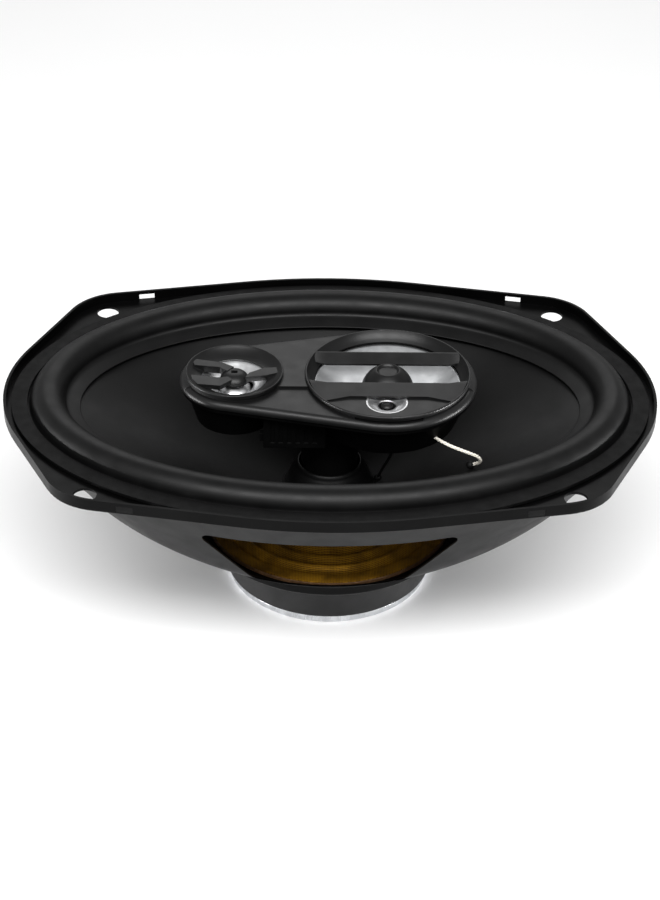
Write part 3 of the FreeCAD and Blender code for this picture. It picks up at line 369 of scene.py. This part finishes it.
def make_materials():
    """Every material by name. Grains, pitches, depths and patches are in millimetres."""
    made = [
        grained("steel_black", grey(0.0012), grey(0.0020), 0.34, 0.45, 0.010, 0.05, 22.0, specular=0.07),
        scratched("zinc_plate", (0.52, 0.53, 0.55), (0.70, 0.71, 0.73), 0.28, metallic=1.0),
        grained("ferrite", grey(0.007), grey(0.012), 0.48, 0.30, 0.02, 0.08, 8.0, specular=0.22),
        grained("gasket", grey(0.0020), grey(0.0030), 0.58, 0.35, 0.03, 0.06, 9.0, specular=0.12),
        grained("rubber", grey(0.0018), grey(0.0028), 0.42, 0.22, 0.008, 0.05, 18.0, specular=0.20),
        grained("cone", grey(0.0018), grey(0.0030), 0.46, 0.40, 0.010, 0.05, 25.0, specular=0.20),
        grained("gloss_black", grey(0.002), grey(0.0035), 0.40, 0.9, 0.004, 0.04, 12.0, specular=0.12),
        woven("spider_cloth", (0.08, 0.036, 0.0015), (0.40, 0.195, 0.010), 0.55, 0.55, 0.10, specular=0.10),
        grained("kapton", (0.20, 0.085, 0.010), (0.30, 0.14, 0.022), 0.25, 0.8, 0.004, 0.05, 6.0),
        wound("copper", (0.30, 0.10, 0.04), (0.72, 0.33, 0.16), 0.3, 0.32, 0.06, metallic=0.8),
        grained("pod_plastic", grey(0.0035), grey(0.0052), 0.38, 0.28, 0.006, 0.05, 16.0, specular=0.32),
        # pod_plastic_painted_shade: a darker, duller copy of pod_plastic, painted shade for the shadow under
        # the pod
        grained("pod_plastic_painted_shade", grey(0.0012), grey(0.002), 0.55, 0.28, 0.010, 0.05, 16.0, specular=0.08),
        ringed("silver_cone", (0.48, 0.49, 0.50), (0.60, 0.61, 0.62), 0.36, 2.3, 0.001, (MID_X, 0),
               metallic=0.9),
        ringed("chrome", (0.84, 0.85, 0.86), (0.94, 0.94, 0.95), 0.36, 1.1, 0.001, (TWEETER_X, 0),
               metallic=1.0),
        ringed("satin_bowl", (0.80, 0.81, 0.82), (0.90, 0.90, 0.91), 0.42, 0.9, 0.001, (SUPER_X, SUPER_Y),
               metallic=1.0),
        scratched("magnet_plate", (0.45, 0.46, 0.47), (0.62, 0.62, 0.63), 0.3, metallic=1.0),
        grained("board", (0.11, 0.055, 0.022), (0.19, 0.10, 0.045), 0.55, 0.5, 0.03, 0.06, 1.2),
        scratched("brass_blade", (0.58, 0.50, 0.34), (0.74, 0.67, 0.50), 0.25, metallic=1.0),
        grained("tinsel", (0.86, 0.81, 0.70), (1.0, 0.97, 0.90), 0.42, 0.18, 0.02, 0.08, 0.5),
        grained("black_lead", grey(0.008), grey(0.013), 0.4, 0.3, 0.02, 0.06, 2.0),
        grained("dark_glue", grey(0.004), grey(0.007), 0.50, 0.9, 0.05, 0.06, 2.5, specular=0.2),
        grained("floor", (0.91, 0.91, 0.91), (0.93, 0.93, 0.93), 0.65, 3.0, 0.02, 0.05, 300.0),
    ]
    return {paint.name: paint.material for paint in made}


# ---------------------------------------------------------------- mesh helpers
def finish_mesh(mesh):
    """Merges doubled points and turns every face outwards."""
    work = bmesh.new()
    work.from_mesh(mesh)
    bmesh.ops.remove_doubles(work, verts=work.verts, dist=SAME_POINT)
    bmesh.ops.recalc_face_normals(work, faces=work.faces)
    work.to_mesh(mesh)
    work.free()
    mesh.polygons.foreach_set("use_smooth", [True] * len(mesh.polygons))


def build(name, points, faces, material):
    """A smooth-shaded object from points in millimetres."""
    mesh = bpy.data.meshes.new(name)
    mesh.from_pydata([Vector(p) * MM for p in points], [], faces)
    mesh.materials.append(material)
    finish_mesh(mesh)
    piece = bpy.data.objects.new(name, mesh)
    bpy.context.scene.collection.objects.link(piece)
    return piece


def net(rows, columns, wrap_rows, offset=0):
    """Quads of a grid of points whose columns close on themselves."""
    faces = []
    last = rows if wrap_rows else rows - 1
    for i in range(last):
        below = (i + 1) % rows
        for j in range(columns):
            beside = (j + 1) % columns
            faces.append((offset + i * columns + j, offset + i * columns + beside,
                          offset + below * columns + beside, offset + below * columns + j))
    return faces


def arc(x, z, radius, start, end, steps):
    """Points on an arc in a section, with angles in degrees, ends included."""
    angles = [math.radians(start + (end - start) * i / steps) for i in range(steps + 1)]
    return [(x + radius * math.cos(a), z + radius * math.sin(a)) for a in angles]


def soften(outline, radius):
    """A closed section with its corners rounded. A point may state its own radius as a third value."""
    count = len(outline)
    rounded = []
    for i in range(count):
        here = Vector(outline[i][:2])
        back = Vector(outline[i - 1][:2]) - here
        ahead = Vector(outline[(i + 1) % count][:2]) - here
        wanted = outline[i][2] if len(outline[i]) > 2 else radius
        reach = min(wanted, back.length * CORNER_SHARE, ahead.length * CORNER_SHARE)
        if reach < LEAST_CORNER or back.angle(ahead) > STRAIGHT_CORNER:
            rounded.append(here)
            continue
        start = here + back.normalized() * reach
        end = here + ahead.normalized() * reach
        for k in range(CORNER_STEPS + 1):
            t = k / CORNER_STEPS
            rounded.append(start * (1 - t) ** 2 + here * 2 * t * (1 - t) + end * t ** 2)
    return [(p.x, p.y) for p in rounded]


def shade_evenly(piece):
    """Large faces decide the shading, and small edge faces follow them."""
    even = piece.modifiers.new("normals", "WEIGHTED_NORMAL")
    even.weight = NORMAL_WEIGHT


def swept(name, place, section, material, turns=TURNS, closed=True):
    """A section carried once round: place(angle, across, z) says where its points lie."""
    points = []
    for across, z in section:
        for j in range(turns):
            points.append(place(2 * math.pi * j / turns, across, z))
    piece = build(name, points, net(len(section), turns, closed), material)
    shade_evenly(piece)
    return piece


def turned(name, section, material, x=0.0, y=0.0, turns=SMALL_TURNS, closed=True):
    """A solid of revolution about a vertical axis at (x, y). A section that ends on the axis isn't closed."""
    def place(angle, r, z):
        return (x + r * math.cos(angle), y + r * math.sin(angle), z)
    return swept(name, place, section, material, turns, closed)


def beside_ellipse(a, b):
    """Points at a distance outside an ellipse, measured square to it."""
    def place(angle, across, z):
        out = Vector((b * math.cos(angle), a * math.sin(angle))).normalized()
        return (a * math.cos(angle) + out.x * across, b * math.sin(angle) + out.y * across, z)
    return place


def stands_for(piece, node, body):
    """The piece replaces a CAD node, and moves with a body unless that is None."""
    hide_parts(node)
    if body:
        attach(piece, body)


def stretch_between(piece, weight):
    """Bakes the piece's transform into its mesh and works out weight at each point, kept between 0 and 1;
    that share is not used, so the piece does not bend.

    weight takes a point in millimetres.
    """
    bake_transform(piece)
    for vertex in piece.data.vertices:
        share = min(max(weight(vertex.co / MM), 0.0), 1.0)


# The CAD nodes that stay: each one's material, and the width of its rounded edges.
KEPT_NODES = {
    "basket": ("steel_black", 0.3), "basket_rivets": ("zinc_plate", 0.1),
    "top_plate": ("zinc_plate", 0.2), "back_plate": ("zinc_plate", 0.25), "spider_ring": ("board", 0.1),
    "voice_coil_former": ("kapton", 0), "voice_coil": ("copper", 0),
    "post": ("gloss_black", 0.2), "post_screw": ("zinc_plate", 0.2),
    # pod_base and crossover_box take the darker copy of the pod plastic: painted shade for the shadow under
    # the pod.
    "pod_base": ("pod_plastic_painted_shade", 0.2), "pod_cover": ("pod_plastic", 0.15), "pod_screws": ("zinc_plate", 0.1),
    "midrange_grille": ("pod_plastic", 0.15), "tweeter_grille": ("pod_plastic", 0.25),
    "crossover_box": ("pod_plastic_painted_shade", 0.12), "crossover_board": ("board", 0.08),
    "crossover_capacitors": ("gloss_black", 0.2),
    "midrange_frame": ("steel_black", 0.1), "super_tweeter_housing": ("pod_plastic", 0.1),
    "midrange_coil": ("copper", 0), "tweeter_coil": ("copper", 0),
    "midrange_pole_plate": ("magnet_plate", 0.15), "tweeter_pole_plate": ("magnet_plate", 0.15),
    "midrange_magnet": ("magnet_plate", 0.15), "tweeter_magnet": ("magnet_plate", 0.15),
    "midrange_yoke": ("magnet_plate", 0.15), "tweeter_yoke": ("magnet_plate", 0.15),
    "terminal_board": ("board", 0.12), "terminal_rivets": ("brass_blade", 0.12),
    "terminal_positive": ("brass_blade", 0.08), "terminal_negative": ("brass_blade", 0.08),
    "lead_eyelets": ("dark_glue", 0.3),
}


def dress(node, look, bevel):
    """A CAD node that stays: rounded edges, even shading and a material. No bevel is 0."""
    piece = NODES[node]
    piece.data.materials.clear()
    piece.data.materials.append(MATERIALS[look])
    piece.data.polygons.foreach_set("use_smooth", [True] * len(piece.data.polygons))
    weld = piece.modifiers.new("weld", "WELD")
    weld.merge_threshold = WELD_GAP
    if bevel:
        edges = piece.modifiers.new("edges", "BEVEL")
        edges.width = bevel * MM
        edges.segments = 2
        edges.limit_method = "ANGLE"
        edges.angle_limit = BEVEL_ANGLE
        edges.use_clamp_overlap = True
    shade_evenly(piece)


# ---------------------------------------------------------------- woofer
def make_surround():
    """A half roll with a flat outer lip and an inner lip that slopes down onto the cone."""
    lip_z = 1.5
    section = [(OUTER_LIP, 1.0), (OUTER_LIP, lip_z - 0.1), (OUTER_LIP - 0.15, lip_z), (7.6, lip_z),
               (6.9, lip_z + 0.05), (6.5, lip_z + 0.3)]
    section += arc(0, ROLL_BASE, ROLL_R, 6, 173, 40)
    section += [(-6.55, 1.9), (-7.1, 1.45), (-8.0, 1.07), (-9.6, 0.39), (-11.5, -0.42), (-INNER_LIP, -0.6),
                (-INNER_LIP, -1.0), (-9.6, -0.1), (-7.4, 0.8), (-6.1, 1.3)]
    section += arc(0, ROLL_BASE, ROLL_R - ROLL_WALL, 176, 4, 32)
    section += [(6.0, 1.25), (6.6, 1.0)]
    piece = swept("surround_roll", beside_ellipse(ROLL_A, ROLL_B), section, MATERIALS["rubber"])
    stands_for(piece, "surround", None)

    def share(point):
        """0 on the outer side of the roll and 1 on its inner side."""
        angle = math.atan2(point.y / ROLL_B, point.x / ROLL_A)
        foot = Vector((ROLL_A * math.cos(angle), ROLL_B * math.sin(angle)))
        out = Vector((ROLL_B * math.cos(angle), ROLL_A * math.sin(angle))).normalized()
        across = (point.xy - foot).dot(out)
        return (ROLL_R - across) / (2 * ROLL_R)
    stretch_between(piece, share)


def make_gasket():
    """A flat ring. Across runs from 0 at its outer edge to 1 at its inner edge."""
    def place(angle, across, z):
        a = GASKET_HIGH.x - across * GASKET_WIDTH_X
        b = GASKET_HIGH.y - across * GASKET_WIDTH_Y
        return (a * math.cos(angle), b * math.sin(angle), z)
    low = GASKET_LOW.z
    high = GASKET_HIGH.z
    section = soften([(0, low), (0, high, 0.06), (1, high, 0.06), (1, low)], 0.02)
    piece = swept("gasket_ring", place, section, MATERIALS["gasket"])
    stands_for(piece, "gasket", "chassis")


def make_cone():
    """A thin shell. Step runs from 0 at its neck to 1 at its edge, and drop is down from its face."""
    def place(angle, step, drop):
        a = CONE_NECK_R + (CONE_EDGE.x - CONE_NECK_R) * step
        b = CONE_NECK_R + (CONE_EDGE.y - CONE_NECK_R) * step
        z = CONE_NECK_Z + (CONE_EDGE.z - CONE_NECK_Z) * (1 - (1 - step) ** CONE_FLARE)
        return (a * math.cos(angle), b * math.sin(angle), z - drop)
    steps = 60
    above = [(i / steps, 0.0) for i in range(steps + 1)]
    below = [(i / steps, CONE_WALL) for i in range(steps, -1, -1)]
    neck = [(0.004, CONE_NECK_DROP), (-0.001, CONE_NECK_DROP)]
    piece = swept("cone_shell", place, above + below + neck, MATERIALS["cone"])
    stands_for(piece, "cone", "woofer")


def make_dust_cap():
    """A dome ring round the post with a rolled foot and a thin step near its top."""
    foot = [(17.3, -35.9), (17.4, -35.4), (17.0, -35.0), (16.3, -34.9)]
    dome = [(15.9, -34.0), (15.6, -32.6), (15.1, -31.0), (14.4, -29.2), (13.6, -27.7), (12.9, -26.6),
            (12.6, -26.3), (12.5, -25.9), (12.2, -25.3), (11.8, -24.8), (11.4, -24.6), (11.2, -24.9)]
    inside = [(11.3, -25.5), (12.0, -26.8), (13.5, -29.4), (14.4, -31.4), (14.9, -33.4), (15.1, -35.9)]
    section = foot + dome + inside
    piece = turned("dust_cap_dome", section, MATERIALS["gloss_black"], turns=TURNS)
    stands_for(piece, "dust_cap", "woofer")


def make_spider():
    """Amber cloth pressed into rings of waves between the former and the basket's floor ring."""
    inner = limits("voice_coil_former")[1].x + SPIDER_GAP
    lip_z = SPIDER_Z + SPIDER_WALL
    steps = 24 * SPIDER_WAVES
    above = []
    for i in range(steps + 1):
        r = SPIDER_IN + (SPIDER_OUT - SPIDER_IN) * i / steps
        above.append((r, lip_z + SPIDER_WAVE_HEIGHT * math.sin(2 * math.pi * SPIDER_WAVES * i / steps)))
    below = [(r, z - SPIDER_WALL) for r, z in above[::-1]]
    section = [(inner, lip_z)] + above + [(SPIDER_R, lip_z), (SPIDER_R, SPIDER_Z)] + below
    section += [(inner, SPIDER_Z)]
    piece = turned("spider_cloth", section, MATERIALS["spider_cloth"], turns=TURNS)
    stands_for(piece, "spider", None)
    stretch_between(piece,
                    lambda p: (SPIDER_OUT - math.hypot(p.x, p.y)) / (SPIDER_OUT - SPIDER_IN))


def make_magnet():
    """A ferrite ring with rounded outer edges."""
    low, high = limits("magnet")
    section = soften([(MAGNET_HOLE_R, low.z), (high.x, low.z, 0.9), (high.x, high.z, 0.9),
                      (MAGNET_HOLE_R, high.z)], 0.4)
    piece = turned("magnet_ring", section, MATERIALS["ferrite"], turns=TURNS)
    stands_for(piece, "magnet", "chassis")


# ---------------------------------------------------------------- small drivers
def make_midrange():
    """A silver cone on a small roll, with a dust cap that has a ring round its top."""
    x = MID_X
    cone_low, cone_high = limits("midrange_cone")
    neck_r = 9.8
    neck_z = cone_low.z + 0.4
    edge_r = cone_high.x - x
    sag = 1.1
    film = 0.35
    steps = 24
    cone = []
    for i in range(steps + 1):
        t = i / steps
        r = neck_r + (edge_r - neck_r) * t
        cone.append((r, neck_z + (cone_high.z - neck_z) * t - sag * math.sin(math.pi * t)))
    under = [(r, z - film) for r, z in cone[::-1]]
    piece = turned("midrange_cone_film", cone + under, MATERIALS["silver_cone"], x, turns=TURNS)
    stands_for(piece, "midrange_cone", "midrange")

    roll_mid = 27.62
    roll_out = 28.2
    roll_width = 1.3
    roll = [(28.7, 8.8), (28.7, 9.1), (28.3, 9.12)]
    roll += arc(roll_mid, 9.08, 0.6, 8, 160, 12)
    roll += [(26.9, 9.3), (26.55, 9.28), (26.5, 9.2), (26.55, 9.12), (26.9, 9.08)]
    roll += arc(roll_mid, 8.9, 0.55, 160, 10, 10)
    piece = turned("midrange_surround_roll", roll, MATERIALS["rubber"], x)
    stands_for(piece, "midrange_surround", None)
    stretch_between(piece,
                    lambda p: (roll_out - math.hypot(p.x - x, p.y)) / roll_width)

    centre_z = 5.7
    dome_r = 9.7
    wall = 0.5
    cap = [(0.0, 13.82), (1.4, 13.78), (2.6, 13.66), (3.1, 13.66), (3.5, 13.85), (3.85, 14.25), (4.05, 14.5),
           (4.3, 14.5)]
    cap += arc(0, centre_z, dome_r, 62, 0, 24)[1:]
    cap += [(dome_r, 4.7), (dome_r + 0.2, 4.4), (10.2, 4.35), (10.3, 4.0), (dome_r, 3.92),
            (dome_r - wall, 3.92), (dome_r - wall, centre_z)]
    cap += arc(0, centre_z, dome_r - wall, 4, 61, 20)
    cap += [(3.0, 13.25), (1.6, 13.3), (0.0, 13.35)]
    piece = turned("midrange_dust_cap_dome", cap, MATERIALS["pod_plastic"], x, closed=False)
    stands_for(piece, "midrange_dust_cap", "midrange")


def make_super_tweeter():
    """A satin bowl with a flat rim, and a small black dome in it."""
    bowl = [(7.5, 11.98), (7.42, 12.02), (7.05, 12.02), (6.92, 11.97)]
    bowl += [(6.65, 11.78), (6.2, 11.35), (5.5, 11.0), (4.7, 10.7), (3.9, 10.5), (3.2, 10.42)]
    bowl += [(3.2, 10.0), (4.6, 10.15), (5.9, 10.5), (7.0, 11.1), (7.5, 11.5)]
    piece = turned("super_tweeter_bowl", bowl, MATERIALS["satin_bowl"], SUPER_X, SUPER_Y)
    stands_for(piece, "super_tweeter_reflector", "chassis")
    dome = [(0.0, 11.5), (0.6, 11.46), (1.2, 11.27), (1.7, 10.98), (2.05, 10.65), (2.2, 10.3), (2.2, 10.1),
            (1.9, 10.3), (1.4, 10.75), (0.7, 11.05), (0.0, 11.15)]
    piece = turned("super_tweeter_dome_film", dome, MATERIALS["pod_plastic"], SUPER_X, SUPER_Y, closed=False)
    stands_for(piece, "super_tweeter_dome", "super_tweeter")


def make_tweeter():
    """A bright bowl, and a dome of bright cloth under the grille's hub."""
    bowl = [(15.4, 9.2), (15.4, 9.8), (15.2, 9.9), (12.8, 10.2), (12.3, 10.1), (11.2, 9.45), (10.0, 8.7),
            (8.8, 8.15), (7.7, 7.75), (6.9, 7.6), (6.9, 6.9), (8.3, 7.15), (9.8, 7.6), (11.4, 8.4),
            (12.8, 9.2)]
    piece = turned("tweeter_bowl", bowl, MATERIALS["chrome"], TWEETER_X)
    stands_for(piece, "tweeter_reflector", "chassis")
    dome = [(0.0, 8.9), (1.0, 8.85), (2.2, 8.6), (3.4, 8.2), (4.5, 7.65), (5.3, 7.1), (5.9, 6.55), (6.1, 6.2),
            (6.1, 6.0), (5.7, 6.3), (5.0, 6.9), (3.9, 7.5), (2.5, 8.1), (1.2, 8.4), (0.0, 8.5)]
    piece = turned("tweeter_dome_cloth", dome, MATERIALS["chrome"], TWEETER_X, closed=False)
    stands_for(piece, "tweeter_dome", "tweeter")


# ---------------------------------------------------------------- leads
def smooth_line(route):
    """Points along the NURBS line that has the route's points as its control points."""
    data = bpy.data.curves.new("route", "CURVE")
    data.dimensions = "3D"
    spline = data.splines.new("NURBS")
    spline.points.add(len(route) - 1)
    for point, place in zip(spline.points, route):
        point.co = (*place, 1.0)
    spline.order_u = 3
    spline.use_endpoint_u = True
    spline.resolution_u = 16
    bare = bpy.data.objects.new("route", data)
    mesh = bpy.data.meshes.new_from_object(bare)
    line = [v.co.copy() for v in mesh.vertices]
    bpy.data.meshes.remove(mesh)
    bpy.data.objects.remove(bare)
    bpy.data.curves.remove(data)
    return line


def along_line(line):
    """For each point of a line: the point, two directions square to it, and its distance from the start."""
    side = (line[1] - line[0]).orthogonal().normalized()
    walked = 0.0
    steps = []
    for i, point in enumerate(line):
        ahead = (line[min(i + 1, len(line) - 1)] - line[max(i - 1, 0)]).normalized()
        side = (side - ahead * side.dot(ahead)).normalized()
        if i:
            walked += (point - line[i - 1]).length
        steps.append((point, side, ahead.cross(side), walked))
    return steps


def tube(points, line, radius, sides):
    """Adds a round tube along a line to a list of points, and returns its faces."""
    offset = len(points)
    for point, side, up, _ in along_line(line):
        for j in range(sides):
            angle = 2 * math.pi * j / sides
            points.append(point + side * radius * math.cos(angle) + up * radius * math.sin(angle))
    faces = net(len(line), sides, False, offset)
    faces.append(tuple(offset + j for j in range(sides)))
    last = offset + (len(line) - 1) * sides
    faces.append(tuple(last + j for j in range(sides)))
    return faces


def make_lead(name, node, route, radius, slot_name):
    """A lead from the chassis to the cone. Tinsel is braided: two sets of wires that cross."""
    line = smooth_line(route)
    points = []
    if slot_name == "tinsel":
        wires = 4
        wire_r = 0.27 * radius
        core_r = radius - 1.6 * wire_r
        middle_r = radius - wire_r * 1.3
        weave = 0.3 * wire_r
        pitch = 8.0 * radius
        faces = tube(points, line, core_r, 8)
        steps = along_line(line)
        for hand in (-1, 1):
            for k in range(wires):
                strand = []
                for point, side, up, walked in steps:
                    turn = 2 * math.pi * walked / pitch
                    angle = hand * turn + 2 * math.pi * k / wires
                    reach = middle_r + weave * hand * math.cos(wires * turn)
                    strand.append(point + (side * math.cos(angle) + up * math.sin(angle)) * reach)
                faces += tube(points, strand, wire_r, 6)
    else:
        faces = tube(points, line, radius, 16)
    piece = build(name, points, faces, MATERIALS[slot_name])
    stands_for(piece, node, None)
    start = line[0]
    end = line[-1]
    stretch_between(piece,
                    lambda p: (p - start).length / ((p - start).length + (p - end).length))


def make_leads():
    """Two leads from the pod, and two from the terminals that mirror each other."""
    make_lead("pod_lead_bright_braid", "pod_lead_bright", BRIGHT_ROUTE, BRAID_R, "tinsel")
    make_lead("pod_lead_black_sleeve", "pod_lead_black", BLACK_ROUTE, SLEEVE_R, "black_lead")
    make_lead("tinsel_braid_positive", "tinsel_lead_positive", REAR_ROUTE, BRAID_R, "tinsel")
    mirrored = [(-x, y, z) for x, y, z in REAR_ROUTE]
    make_lead("tinsel_braid_negative", "tinsel_lead_negative", mirrored, BRAID_R, "tinsel")


MATERIALS = make_materials()
make_camera()
make_leads()
make_studio()
make_surround()
make_gasket()
make_cone()
make_dust_cap()
make_spider()
make_magnet()
make_midrange()
make_super_tweeter()
make_tweeter()
for kept, (look, bevel) in KEPT_NODES.items():
    dress(kept, look, bevel)
